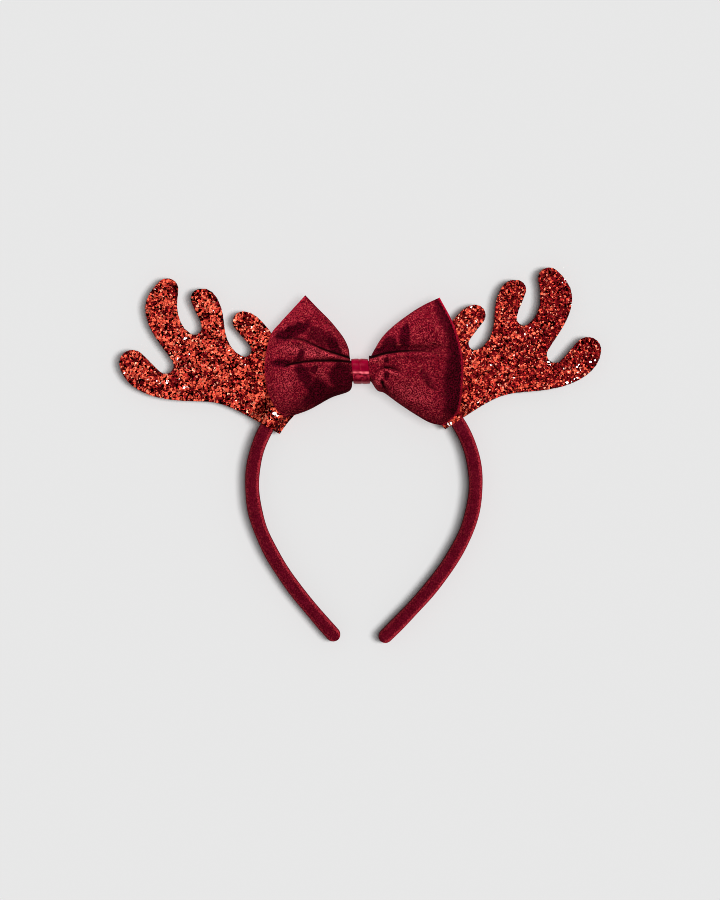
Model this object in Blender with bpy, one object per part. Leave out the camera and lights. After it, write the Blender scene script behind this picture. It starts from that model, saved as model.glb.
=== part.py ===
"""Reindeer antler headband, lying flat on its side.

A padded velvet band carries two antlers of glitter sheet, whose roots wrap round it, and a velvet
bow that a satin ribbon ties to the crown. Metres, +Z up, +Y from the band's mouth to its crown.
"""

import math

import bmesh
import bpy
from mathutils import Vector

GAP = 0.0003  # clearance between pieces that touch

# Band: a padded strip that lies on its side
BAND_LENGTH = 0.371  # along its middle, between the centres of its round ends
BAND_THICK = 0.0076  # seen from above
BAND_WIDE = 0.010  # up from the floor
BAND_SQUARENESS = 3.0  # 2 is an oval section, more is squarer
BAND_STEP = 0.005  # from one section to the next
BAND_SIDES = 20  # corners of a section
BAND_END_TURNS = (30, 55, 75)  # sections of each round end, in degrees round it
# From the crown to an end: name, share of half the band's length, turn in degrees
BAND_BENDS = (
    ("arch", 0.495, 90),
    ("temple", 0.16, 25),
    ("cheek", 0.10, 9),
    ("leg", 0.115, 7),
    ("end", 0.13, 3),
)

# Headpiece: where the bow and the antlers sit along the band
HEADPIECE_SHIFT = -0.0034  # from the crown to the knot, left of it negative
ROOT_AT = 0.0495  # from the knot to the middle of an antler's root
ROOT_LENGTH = 0.019  # along the band

# Antler: two layers of glitter sheet
ANTLER_REACH = 0.0825  # root to the outermost tine
ANTLER_RISE = 0.0725  # root to the highest tine
SHEET = 0.00125  # one layer
TINE_ROUND = 0.0055
FORK_ROUND = 0.0042
EDGE_STEP = 0.004  # between points of the edge's long curves
EDGE_ARC_STEP = 18  # degrees, between points of its arcs
LOW_CORNER_HEADING = 29
HIGH_CORNER_HEADING = 268
# Edge from the root's low corner round the tines. A round of 0 is a point that the edge passes.
# Name, out as a share of reach, up as a share of rise, round as a share of the tine's or fork's,
# then the heading on the way in and out, in degrees: 0 is outward and 90 is up
ANTLER_EDGE = (
    ("belly", 0.45, 0.09, 0.0, 4, 4),
    ("underside", 0.80, 0.145, 0.0, 20, 20),
    ("tine a", 0.915, 0.38, 1.2, 84, 222),
    ("fork ab", 0.705, 0.355, 1.1, 222, 57),
    ("side b", 0.82, 0.775, 0.0, 92, 92),
    ("tine b", 0.68, 0.905, 1.0, 138, 282),
    ("fork bc", 0.515, 0.625, 1.0, 215, 77),
    ("tine c", 0.47, 0.83, 0.9, 72, 165),
    ("side c", 0.33, 0.64, 0.0, 268, 268),
    ("fork cd", 0.20, 0.45, 0.9, 205, 55),
    ("tine d", 0.205, 0.655, 0.95, 52, 180),
    ("side d", 0.085, 0.645, 0.0, 229, 229),
    ("neck", -0.03, 0.38, 0.0, 268, 268),
)

# Antler's root: the layers part, pass over and under the band, and meet again inside it
WRAP_WALL = 0.0012
WRAP_RAMP = 0.007  # outside the band, where the layers come together
WRAP_LIP = 0.0032  # inside the band
WRAP_FLAT = 0.0025  # half the flat stretch over and under the band
WRAP_SECTIONS = 9
WRAP_STEPS = 6
PASSAGE_PAST = 0.006  # how far the cut for the band runs past each end of the root

# Bow: a sewn bag gathered in the middle
BOW_REACH = 0.052  # middle to rim
BOW_RISE = 0.040  # middle to the highest corner
BOW_LEAN = math.radians(1.7)
BOW_PUFF = 0.0095  # front over the seam
BOW_SAG = 0.0022  # back under the seam
SEAM_THICK = 0.0016
NECK_PUFF = 0.0084  # the gathered middle, along Z
NECK_EASE = 0.0004  # between the gathers and the ribbon
NECK_SEAM = 0.27  # height of the seam in the neck, as a share of its puff
SWELL_END = 0.35  # where a lobe is full, as a share of the way out from the neck
DOME_FLATNESS = 3  # a lobe's section from low to top edge: more is flatter
DOME_POWER = 0.55
RIM_FLATNESS = 6  # the same from neck to rim
LOBE_COLUMNS = 22
LOBE_ROWS = 18
NECK_COLUMNS = 3
# Edges of each lobe: out as shares of the way from the neck to the bow's reach, and up as shares
# of its rise. The top and low edges run outward, and the rim from its low to its high corner
LEFT_LOBE = {
    "top": ((0.03, 0.33), (0.20, 0.61), (0.38, 0.83)),
    "high corner": (0.51, 0.99),
    "rim": ((0.845, -0.47), (0.925, -0.25), (0.96, 0.08), (0.895, 0.46), (0.78, 0.64), (0.625, 0.84)),
    "low corner": (0.735, -0.61),
    "low": ((0.04, -0.26), (0.23, -0.35), (0.48, -0.51)),
}
RIGHT_LOBE = {
    "top": ((0.065, 0.28), (0.15, 0.46), (0.27, 0.60), (0.44, 0.75), (0.59, 0.86)),
    "high corner": (0.77, 0.96),
    "rim": ((0.965, -0.55), (1.01, -0.36), (1.03, -0.02), (1.01, 0.27), (0.925, 0.61)),
    "low corner": (0.81, -0.71),
    "low": ((0.065, -0.25), (0.16, -0.29), (0.34, -0.44), (0.495, -0.56), (0.66, -0.67)),
}
FOLD_BEND = 1.4  # how soon on its way out a fold lines up with its place across the rim
FOLD_START = 0.15  # how gently a fold starts and ends, as shares of the way out
FOLD_END = 0.3
# Folds in the front of each lobe: name, place across the neck, place across the rim, half width
# across, depth as a share of the puff, start and end as shares of the way out
LEFT_FOLDS = (
    ("upper", 0.72, 0.67, 0.09, 0.50, 0.0, 1.0),
    ("middle", 0.50, 0.42, 0.07, 0.30, 0.0, 0.85),
    ("lower", 0.26, 0.14, 0.08, 0.30, 0.0, 0.65),
)
RIGHT_FOLDS = (
    ("main", 0.68, 0.56, 0.09, 0.50, 0.0, 0.95),
    ("short", 0.46, 0.40, 0.07, 0.25, 0.0, 0.45),
    ("faint", 0.26, 0.20, 0.08, 0.18, 0.3, 0.85),
)

# Knot: a ring of satin ribbon round the bow's neck and the band
KNOT_WIDE = 0.009  # along X
KNOT_ROOM = 0.002  # inside it, at each side of the band
KNOT_WALL = 0.0011
KNOT_DEEP = BAND_THICK + 2 * (KNOT_ROOM + KNOT_WALL)  # along Y
KNOT_CREASE = 0.0004
KNOT_SLANT = 0.10  # how far its sides lean, for each unit of Y
KNOT_SQUARENESS = 3.6
KNOT_STEPS = 40
# Outer face of the ribbon: name, across as a share of half the width, height as a share of the wall
KNOT_FACE = (
    ("side", 1.0, 0.55),
    ("shoulder", 0.88, 1.0),
    ("crown", 0.45, 1.08),
    ("crease edge", 0.12, 1.05),
)

# Colours: name, base colour, roughness, metallic
MATERIALS = {
    "velvet": ((0.23, 0.006, 0.017), 0.85, 0.0),
    "glitter": ((0.42, 0.03, 0.02), 0.35, 0.6),
    "satin": ((0.36, 0.001, 0.02), 0.3, 0.0),
}


def clear_scene():
    for obj in list(bpy.data.objects):
        bpy.data.objects.remove(obj, do_unlink=True)


def make_material(name):
    """A plain surface of the named colour, roughness and metallic value."""
    colour, roughness, metallic = MATERIALS[name]
    material = bpy.data.materials.new(name)
    material.use_nodes = True
    surface = material.node_tree.nodes["Principled BSDF"]
    surface.inputs["Base Color"].default_value = (*colour, 1.0)
    surface.inputs["Roughness"].default_value = roughness
    surface.inputs["Metallic"].default_value = metallic
    return material


def make_object(name, points, faces, material=None):
    """A mesh object from points and faces, with the faces turned outward."""
    mesh = bpy.data.meshes.new(name)
    mesh.from_pydata([tuple(point) for point in points], [], faces)
    shape = bmesh.new()
    shape.from_mesh(mesh)
    bmesh.ops.recalc_face_normals(shape, faces=shape.faces)
    shape.to_mesh(mesh)
    shape.free()
    obj = bpy.data.objects.new(name, mesh)
    bpy.context.scene.collection.objects.link(obj)
    if material:
        mesh.materials.append(material)
        mesh.shade_smooth()
        mesh.set_sharp_from_angle(angle=math.radians(40))
    else:
        obj.hide_render = True
        obj.display_type = "WIRE"
    return obj


def loft(rings, ends_meet=False):
    """Points and faces of a skin through rings of equal length, capped unless its ends meet."""
    size = len(rings[0])
    points = [point for ring in rings for point in ring]
    faces = []
    for row in range(len(rings) - (not ends_meet)):
        low = row * size
        high = (row + 1) % len(rings) * size
        for col in range(size):
            after = (col + 1) % size
            faces.append((low + col, low + after, high + after, high + col))
    if not ends_meet:
        faces.append(tuple(range(size)))
        faces.append(tuple(range(len(points) - size, len(points))))
    return points, faces


def oval(half_across, half_up, squareness, sides):
    """Corners of a rounded section about its middle: 2 is an oval, more is squarer."""
    corners = []
    for step in range(sides):
        turn = 2 * math.pi * step / sides
        across = math.copysign(abs(math.cos(turn)) ** (2 / squareness), math.cos(turn))
        up = math.copysign(abs(math.sin(turn)) ** (2 / squareness), math.sin(turn))
        corners.append((half_across * across, half_up * up))
    return corners


def smooth(share):
    """Eases from 0 to 1."""
    share = min(max(share, 0.0), 1.0)
    return share * share * (3 - 2 * share)


def band_point(along):
    """Middle of the band, seen from above, and its heading, at a length from the crown."""
    left = abs(along)
    x, y, heading = 0.0, 0.0, 0.0
    for _, share, turn in BAND_BENDS:
        length = share * BAND_LENGTH / 2
        walked = min(left, length)
        bend = math.radians(turn) / length
        after = heading - bend * walked
        x += (math.sin(heading) - math.sin(after)) / bend
        y += (math.cos(after) - math.cos(heading)) / bend
        heading = after
        left -= walked
    x += left * math.cos(heading)
    y += left * math.sin(heading)
    side = math.copysign(1, along)
    return Vector((side * x, y)), side * heading


ROOT_LOW = ROOT_AT + ROOT_LENGTH / 2
ROOT_HIGH = ROOT_AT - ROOT_LENGTH / 2
LEG_Y = band_point(BAND_LENGTH / 2)[0].y
ROOT_Y = max(band_point(side * ROOT_LOW + HEADPIECE_SHIFT)[0].y for side in (-1, 1))
# The wraps and the ribbon hold the band off the floor, and its two ends rest on it
LIFT = max(WRAP_WALL, KNOT_WALL) + GAP
SHEET_MIDDLE = LIFT + BAND_WIDE / 2  # height of the plane where an antler's two layers meet


def band_middle(along):
    """Height of the band's middle over the floor."""
    y = band_point(along)[0].y
    return BAND_WIDE / 2 + LIFT * (y - LEG_Y) / (ROOT_Y - LEG_Y)


def across_band(along, out, height):
    """A point beside the band: outward from its middle, at a height over the floor."""
    place, heading = band_point(along)
    return Vector((place.x - out * math.sin(heading), place.y + out * math.cos(heading), height))


def band_ring(along, half_thick, half_wide):
    section = oval(half_thick, half_wide, BAND_SQUARENESS, BAND_SIDES)
    return [across_band(along, out, band_middle(along) + up) for out, up in section]


def make_band(material):
    half = BAND_LENGTH / 2
    steps = round(BAND_LENGTH / BAND_STEP)
    stations = [(BAND_LENGTH * step / steps - half, 1.0) for step in range(steps + 1)]
    for turn in map(math.radians, BAND_END_TURNS):
        beyond = half + BAND_THICK / 2 * math.sin(turn)
        stations.insert(0, (-beyond, math.cos(turn)))
        stations.append((beyond, math.cos(turn)))
    rings = []
    for along, share in stations:
        wide = BAND_WIDE / 2 * (0.5 + share / 2)
        rings.append(band_ring(along, BAND_THICK / 2 * share, wide))
    return make_object("band", *loft(rings), material)


def arc_between(centre, radius, enter, leave):
    """Points of an arc that turns from one heading to another, left round a tine, right in a fork."""
    side = 1 if leave > enter else -1
    steps = max(2, round(abs(leave - enter) / EDGE_ARC_STEP))
    points = []
    for step in range(steps + 1):
        heading = math.radians(enter + (leave - enter) * step / steps)
        points.append(centre + side * radius * Vector((math.sin(heading), -math.cos(heading))))
    return points


def curve_between(start, leave, end, enter):
    """Points between two others, on the smooth curve that has the given headings at its ends."""
    turn = (enter - leave + 180) % 360 - 180
    handle = (end - start).length / (3 * math.cos(math.radians(turn) / 4) ** 2)
    leave, enter = math.radians(leave), math.radians(enter)
    first = start + handle * Vector((math.cos(leave), math.sin(leave)))
    second = end - handle * Vector((math.cos(enter), math.sin(enter)))
    steps = max(2, round((end - start).length / EDGE_STEP))
    points = []
    for step in range(1, steps):
        t = step / steps
        near = start * (1 - t) ** 3 + 3 * first * t * (1 - t) ** 2
        points.append(near + 3 * second * t * t * (1 - t) + end * t**3)
    return points


def antler_edge():
    """The antler's edge from its root's middle, with X outward: it starts and ends on the band."""
    middle = band_point(ROOT_AT)[0]
    stretches = [([band_point(ROOT_LOW)[0] - middle], LOW_CORNER_HEADING, LOW_CORNER_HEADING)]
    for _, out, up, share, enter, leave in ANTLER_EDGE:
        centre = Vector((out * ANTLER_REACH, up * ANTLER_RISE))
        radius = share * (TINE_ROUND if leave > enter else FORK_ROUND)
        arc = arc_between(centre, radius, enter, leave) if share else [centre]
        stretches.append((arc, enter, leave))
    stretches.append(([band_point(ROOT_HIGH)[0] - middle], HIGH_CORNER_HEADING, HIGH_CORNER_HEADING))
    points = list(stretches[0][0])
    for (arc, _, leave), (after, enter, _) in zip(stretches, stretches[1:]):
        points += curve_between(arc[-1], leave, after[0], enter) + after
    return points


def wrap_section(along):
    """The root's outer section across the band: flat over and under it, and thin at both ends."""
    clear = BAND_THICK / 2 + GAP
    outer = clear + WRAP_RAMP
    inner = clear + WRAP_LIP
    middle = SHEET_MIDDLE
    over = band_middle(along) - middle
    profile = []
    for side, end in ((-1, inner), (1, outer)):
        half = [WRAP_FLAT + (end - WRAP_FLAT) * step / WRAP_STEPS for step in range(WRAP_STEPS + 1)]
        for out in half if side > 0 else reversed(half):
            ease = 0.5 + 0.5 * math.cos(math.pi * (out - WRAP_FLAT) / (end - WRAP_FLAT))
            profile.append((side * out, SHEET + (middle - SHEET) * ease, ease))
    top = [across_band(along, out, middle + height + over * ease) for out, height, ease in profile]
    low = [across_band(along, out, middle - height) for out, height, ease in reversed(profile)]
    return top + low


def make_antler(name, side, material):
    """One antler: side is -1 for the left one and 1 for the right one."""
    root = HEADPIECE_SHIFT + side * ROOT_AT
    outline = [Vector((side * point.x, point.y)) for point in antler_edge()]
    rings = [[(p.x, p.y, height) for p in outline] for height in (-SHEET, SHEET)]
    antler = make_object(name, *loft(rings), material)
    place = band_point(root)[0]
    antler.location = (place.x, place.y, SHEET_MIDDLE)
    antler.rotation_euler.z = band_point(HEADPIECE_SHIFT)[1]

    starts = [root + ROOT_LENGTH * (step / (WRAP_SECTIONS - 1) - 0.5) for step in range(WRAP_SECTIONS)]
    wrap = make_object(name + "_wrap", *loft([wrap_section(along) for along in starts]))
    room = []
    for step in range(WRAP_SECTIONS):
        along = root + (ROOT_LENGTH + 2 * PASSAGE_PAST) * (step / (WRAP_SECTIONS - 1) - 0.5)
        room.append(band_ring(along, BAND_THICK / 2 + GAP, BAND_WIDE / 2 + GAP))
    passage = make_object(name + "_passage", *loft(room))
    for tool, operation in ((wrap, "UNION"), (passage, "DIFFERENCE")):
        modifier = antler.modifiers.new(tool.name, "BOOLEAN")
        modifier.object = tool
        modifier.operation = operation
        modifier.solver = "EXACT"
    return antler


def spline_point(points, share):
    """A point at a share of the way along the smooth curve through the given points."""
    chords = [(b - a).length for a, b in zip(points, points[1:])]
    left = share * sum(chords)
    index = 0
    while index < len(chords) - 1 and left > chords[index]:
        left -= chords[index]
        index += 1
    t = min(left / chords[index], 1.0)
    start, end = points[index], points[index + 1]
    before = points[index - 1] if index else start + start - end
    after = points[index + 2] if index + 2 < len(points) else end + end - start
    leave = (end - before) / 2
    enter = (after - start) / 2
    hermite = (2 * t**3 - 3 * t * t + 1) * start + (t**3 - 2 * t * t + t) * leave
    return hermite + (3 * t * t - 2 * t**3) * end + (t**3 - t * t) * enter


NECK_HALF = KNOT_WIDE / 2 + GAP  # where a lobe starts
NECK_RISE = KNOT_DEEP / 2 - KNOT_WALL - NECK_EASE  # half the gathered middle, along Y
NECK_LOW = band_middle(HEADPIECE_SHIFT) + BAND_WIDE / 2 + GAP
BOW_BACK = NECK_LOW + WRAP_WALL + GAP  # the lobes lie on the antlers' wraps
LOBE_SEAM = BOW_BACK + max(BOW_SAG, SEAM_THICK / 2)


def lobe_point(lobe, out, across):
    """A point of a lobe seen from above: out from the neck to the rim, across from low to top."""

    def spot(row):
        return Vector((NECK_HALF + row[0] * (BOW_REACH - NECK_HALF), row[1] * BOW_RISE))

    low_start = Vector((NECK_HALF, -NECK_RISE))
    top_start = Vector((NECK_HALF, NECK_RISE))
    low_end = spot(lobe["low corner"])
    top_end = spot(lobe["high corner"])
    low = spline_point([low_start, *map(spot, lobe["low"]), low_end], out)
    top = spline_point([top_start, *map(spot, lobe["top"]), top_end], out)
    rim = spline_point([low_end, *map(spot, lobe["rim"]), top_end], across)
    neck = low_start.lerp(top_start, across)
    straight = neck.lerp(low_end.lerp(top_end, across), out)
    return low.lerp(top, across) + neck.lerp(rim, out) - straight


def fold_depth(folds, out, across):
    """How far the folds press the front in, as a share of its puff."""
    depth = 0.0
    for _, at_neck, at_rim, half_width, share, start, end in folds:
        middle = at_neck + (at_rim - at_neck) * smooth(FOLD_BEND * out)
        fade = smooth((out - start) / FOLD_START + 1) * (1 - smooth((out - end) / FOLD_END + 1))
        depth += share * fade * math.exp(-(((across - middle) / half_width) ** 2))
    return depth


def bow_column(side, out):
    """Front and back points of the bow across one column: side 0 is the neck."""
    lobe, folds = (LEFT_LOBE, LEFT_FOLDS) if side < 0 else (RIGHT_LOBE, RIGHT_FOLDS)
    swell = smooth(out / SWELL_END) if side else 0.0
    rim_fall = (1 - out**RIM_FLATNESS) ** 0.5 if side else 1.0
    neck_sag = NECK_SEAM * NECK_PUFF
    seam = NECK_LOW + neck_sag + (LOBE_SEAM - NECK_LOW - neck_sag) * swell
    puff = NECK_PUFF - neck_sag + (BOW_PUFF - NECK_PUFF + neck_sag) * swell
    sag = neck_sag + (BOW_SAG - neck_sag) * swell
    front, back = [], []
    for row in range(LOBE_ROWS + 1):
        across = row / LOBE_ROWS
        dome = (1 - abs(2 * across - 1) ** DOME_FLATNESS) ** DOME_POWER * rim_fall
        if side:
            flat = lobe_point(lobe, out, across)
            flat.x *= side
            dent = fold_depth(folds, out, across)
        else:
            flat = Vector((out * NECK_HALF, NECK_RISE * (2 * across - 1)))
            dent = 0.0
        flat.x -= KNOT_SLANT * flat.y * (1 - swell)
        over = max(SEAM_THICK / 2, puff * dome * (1 - dent))
        under = max(SEAM_THICK / 2, sag * dome)
        front.append(Vector((flat.x, flat.y, seam + over)))
        back.append(Vector((flat.x, flat.y, seam - under)))
    return front, back


def make_bow(material):
    columns = [(-1, 1 - step / LOBE_COLUMNS) for step in range(LOBE_COLUMNS + 1)]
    columns += [(0, 2 * step / (NECK_COLUMNS + 1) - 1) for step in range(1, NECK_COLUMNS + 1)]
    columns += [(1, step / LOBE_COLUMNS) for step in range(LOBE_COLUMNS + 1)]
    rings = []
    for side, out in columns:
        front, back = bow_column(side, out)
        rings.append(front + back[::-1])
    bow = make_object("bow", *loft(rings), material)
    place = band_point(HEADPIECE_SHIFT)[0]
    bow.location = (place.x, place.y, 0)
    bow.rotation_euler.z = BOW_LEAN
    return bow


def make_knot(material):
    """The ribbon: a ring in the YZ plane, with a soft crease along the middle of its face."""
    top = NECK_LOW + NECK_PUFF + GAP + KNOT_WALL
    faces_out = [(-across, height) for _, across, height in KNOT_FACE]
    crease = [(0.0, KNOT_FACE[-1][2] - KNOT_CREASE / KNOT_WALL)]
    faces_back = [(across, height) for _, across, height in reversed(KNOT_FACE)]
    profile = [(-1.0, 0.0)] + faces_out + crease + faces_back + [(1.0, 0.0)]
    inner = oval(KNOT_DEEP / 2 - KNOT_WALL, top / 2 - KNOT_WALL, KNOT_SQUARENESS, KNOT_STEPS)
    outer = oval(KNOT_DEEP / 2, top / 2, KNOT_SQUARENESS, KNOT_STEPS)
    rings = []
    for (y_in, z_in), (y_out, z_out) in zip(inner, outer):
        ring = []
        for across, height in profile:
            y = y_in + (y_out - y_in) * min(height, 1.0)
            z = z_in + (z_out - z_in) * min(height, 1.0)
            x = across * KNOT_WIDE / 2 - KNOT_SLANT * y
            ring.append(Vector((x, y, top / 2 + z)))
        rings.append(ring)
    knot = make_object("knot", *loft(rings, ends_meet=True), material)
    place = band_point(HEADPIECE_SHIFT)[0]
    knot.location = (place.x, place.y, 0)
    knot.rotation_euler.z = BOW_LEAN
    return knot


def centre_on_floor(pieces):
    """Parents everything to one empty, moved so that the pieces' box stands centred on the origin."""
    bpy.context.view_layer.update()
    graph = bpy.context.evaluated_depsgraph_get()
    corners = []
    for piece in pieces:
        evaluated = piece.evaluated_get(graph)
        corners += [evaluated.matrix_world @ vertex.co for vertex in evaluated.data.vertices]
    low = [min(corner[axis] for corner in corners) for axis in range(3)]
    high = [max(corner[axis] for corner in corners) for axis in range(3)]
    frame = bpy.data.objects.new("headband", None)
    bpy.context.scene.collection.objects.link(frame)
    for obj in list(bpy.context.scene.collection.objects):
        if obj != frame:
            obj.parent = frame
    frame.location = (-(low[0] + high[0]) / 2, -(low[1] + high[1]) / 2, -low[2])


def main():
    clear_scene()
    materials = {name: make_material(name) for name in MATERIALS}
    pieces = [
        make_band(materials["velvet"]),
        make_antler("antler_left", -1, materials["glitter"]),
        make_antler("antler_right", 1, materials["glitter"]),
        make_bow(materials["velvet"]),
        make_knot(materials["satin"]),
    ]
    centre_on_floor(pieces)


main()
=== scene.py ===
"""Looks of a reindeer antler headband: padded velvet band, glitter antlers, velvet bow, satin knot.

Metres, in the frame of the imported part: +Z up from the floor, +Y from the band's mouth to its
crown, and the bow's front up.
"""

import math

import bpy
import numpy as np
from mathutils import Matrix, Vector
from mathutils.bvhtree import BVHTree


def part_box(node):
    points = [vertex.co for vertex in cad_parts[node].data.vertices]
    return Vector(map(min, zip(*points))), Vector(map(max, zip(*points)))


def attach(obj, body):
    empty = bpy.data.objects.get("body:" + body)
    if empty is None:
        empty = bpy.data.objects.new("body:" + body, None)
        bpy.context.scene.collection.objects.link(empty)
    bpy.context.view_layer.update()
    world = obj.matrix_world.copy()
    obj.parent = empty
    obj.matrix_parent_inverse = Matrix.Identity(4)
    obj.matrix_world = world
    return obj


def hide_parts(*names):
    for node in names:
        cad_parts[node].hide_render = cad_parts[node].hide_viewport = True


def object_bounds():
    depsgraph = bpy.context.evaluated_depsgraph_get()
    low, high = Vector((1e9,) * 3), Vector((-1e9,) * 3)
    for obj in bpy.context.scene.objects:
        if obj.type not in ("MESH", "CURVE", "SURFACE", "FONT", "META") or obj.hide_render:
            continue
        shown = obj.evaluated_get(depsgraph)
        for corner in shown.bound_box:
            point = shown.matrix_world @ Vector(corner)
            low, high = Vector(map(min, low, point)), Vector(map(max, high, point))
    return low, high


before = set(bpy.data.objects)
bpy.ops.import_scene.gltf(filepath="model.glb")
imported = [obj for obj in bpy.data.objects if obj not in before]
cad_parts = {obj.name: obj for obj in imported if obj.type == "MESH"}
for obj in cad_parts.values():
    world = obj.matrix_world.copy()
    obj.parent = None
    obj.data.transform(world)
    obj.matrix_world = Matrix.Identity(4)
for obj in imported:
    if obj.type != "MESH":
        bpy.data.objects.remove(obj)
cad_low, cad_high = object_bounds()

MM = 0.001
TINY = 1e-9  # keeps a quotient finite
WAVES = 7  # make soft hills together
WAVE_LENGTHS = (0.7, 1.5)  # shares of the hills' size

# The photograph's view, straight down
PHOTO_HIGH = 900  # pixels
PIXEL = 0.523 * MM  # size of a pixel where the headband lies
PIXEL_LEVEL = 8 * MM  # height of the level that has that scale
VIEW_CENTRE = (1.28 * MM, 1.21 * MM)  # what lies in the middle of the picture
PHOTO_TURN = math.radians(1.7)  # how far the picture is turned from the band's own axis
CAMERA_HEIGHT = 2.2  # metres
SENSOR = 36.0  # along the picture's longer side
PIXEL_FILTER = 0.9  # pixels, which keeps the glitter sharp
FLOOR_REACH = 3.0  # metres
FLOOR_GAP = 0.1 * MM  # between the floor and the lowest solid

# Band, as in the part
BAND_LENGTH = 371 * MM
BAND_THICK = 7.6 * MM
BAND_WIDE = 10 * MM
BAND_SQUARENESS = 3.0
# From the crown to an end: name, share of half the band's length, turn in degrees
BAND_BENDS = (
    ("arch", 0.495, 90),
    ("temple", 0.16, 25),
    ("cheek", 0.10, 9),
    ("leg", 0.115, 7),
    ("end", 0.13, 3),
)
BAND_SECTIONS = 420
BAND_SIDES = 36
SHOULDER_SHEEN_AT = 0.78  # where painted sheen lies along its shoulders, as a share of half its thickness
SHOULDER_SHEEN_WIDE = 0.20
SHOULDER_SHEEN_LEFT = 0.50  # how much of that painted sheen its left side has, the side away from the light
INSIDE_FROM = 0.90  # painted shade darkens its inner side from this share of half its thickness on
INSIDE_OVER = 0.06
BAND_SEAM = 0.35 * MM  # how far the seam along its inner side stands out
BAND_SEAM_WIDE = 0.16  # radians round its section
BAND_UNEVEN = 0.10 * MM
BAND_LUMPS = 17 * MM  # length of its uneven places
BAND_END_TURNS = (12, 25, 38, 50, 62, 74, 84)  # sections of its round ends, in degrees

# Bow, as in the part: its edges as shares of the way from the neck to its reach, and of its rise
BOW_REACH = 52 * MM
BOW_RISE = 40 * MM
BOW_PUFF = 9.0 * MM
BOW_SAG = 2.2 * MM
BOW_LIFT = 1.5 * MM  # how far the lobes' undersides stand above the neck's
NECK_HALF = 4.8 * MM
NECK_RISE = 5.4 * MM
NECK_PUFF = 8.4 * MM
NECK_SEAM = 0.27  # height of the seam in the neck, as a share of the neck's puff
KNOT_SLANT = 0.10  # how far the knot and the neck lean to the left, for each length up
LEFT_LOBE = {
    "side": -1,
    "bulge": 0.3 * MM,  # how far its upper edge stands up beside the knot
    "top": ((0.03, 0.33), (0.20, 0.61), (0.38, 0.83)),
    "high corner": (0.51, 0.99),
    "rim": ((0.845, -0.47), (0.925, -0.25), (0.96, 0.08), (0.895, 0.46), (0.78, 0.64), (0.625, 0.84)),
    "low corner": (0.735, -0.61),
    "low": ((0.04, -0.26), (0.23, -0.35), (0.48, -0.51)),
}
RIGHT_LOBE = {
    "side": 1,
    "bulge": 2.3 * MM,
    "top": ((0.065, 0.28), (0.15, 0.46), (0.27, 0.60), (0.44, 0.75), (0.59, 0.86)),
    "high corner": (0.77, 0.96),
    "rim": ((0.965, -0.55), (1.01, -0.36), (1.03, -0.02), (1.01, 0.27), (0.925, 0.61)),
    "low corner": (0.81, -0.71),
    "low": ((0.065, -0.25), (0.16, -0.29), (0.34, -0.44), (0.495, -0.56), (0.66, -0.67)),
}
LOBE_COLUMNS = 130
LOBE_ROWS = 150
NECK_COLUMNS = 20
LOBE_FULL = 0.35  # share of the way out where a lobe has its full thickness
BULGE_UP, BULGE_GONE = 0.012, 0.07  # shares of the way out where its bulge is full and is gone
DOME_FLAT, DOME_ROUND = 3, 0.55  # powers of its cushion across: of its flat middle, of its round edges
DOME_OUT = 6  # power of its cushion along the way out
LEAST_FRONT = 0.3 * MM  # least thickness before and behind the seam
LEAST_BACK = 0.4 * MM
EASE_IN = 3 * MM  # folds and swellings grow to their full height over this width
# Soft swellings of its front and of its back: size, depth, seed
SWELLINGS = ((14 * MM, 0.35 * MM, 11), (5 * MM, 0.12 * MM, 12))
BACK_SWELLING = (6 * MM, 0.12 * MM, 13)
# Creases in the bow's front, where the cloth below laps over the cloth above: name, depth, soft
# width above, sharp width below, how black its painted shade line is at its start and end, then
# points along it, in mm from the knot's middle
CREASES = (
    ("upper left", 2.6, 5.0, 0.6, 0.5, 1.2,
     ((-43.5, 17.8), (-36, 17.0), (-29, 15.7), (-20, 11.5), (-12, 8.8), (-5, 6.6))),
    ("middle left", 1.2, 1.6, 0.6, 1.0, 1.0,
     ((-38.5, 3.0), (-33, 4.2), (-28, 4.8), (-22, 5.2), (-12, 5.1), (-5, 4.7))),
    ("main right", 2.6, 4.6, 0.6, 1.6, 0.15,
     ((4.0, 7.0), (7.2, 7.6), (13, 9.2), (22, 10.3), (31, 10.4), (40, 9.7), (47, 8.4))),
    ("short right", 1.0, 1.4, 0.5, 1.0, 0.4, ((12.6, 1.8), (17.0, 1.0), (21.2, -0.8))),
    ("gather right", 0.3, 0.8, 0.5, 0.1, 0.5, ((7.4, -2.6), (9.0, 0.0), (12.4, 1.6))),
    ("slit right", 1.0, 1.2, 0.5, 1.1, 0.5, ((11.0, -5.6), (12.0, -8.2), (14.2, -11.6))),
    ("pleat right", 0.3, 0.8, 0.5, 0.5, 0.2, ((8.8, 7.6), (9.1, 5.4), (8.8, 3.4))),
    ("dimple right", 0.6, 2.0, 0.8, 0.5, 0.6, ((34.2, -5.6), (35.8, -8.2), (38.9, -9.8))),
)
CREASE_STEPS = 119
CREASE_FADE = 0.2  # a crease fades over this share of its length at each end
CREASE_END = 0.2  # where on that fade its very end is
CREASE_LINE = 0.72 * MM  # width of its black line of painted shade
CREASE_SHADE, CREASE_SHADE_WIDE = 0.8, 1.5 * MM  # painted shade above the line
# Cloth that stands up below a crease: share of the crease's depth, how far below it, width
WELT, WELT_OFF, WELT_WIDE = 0.3, 2.2 * MM, 1.6 * MM
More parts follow.
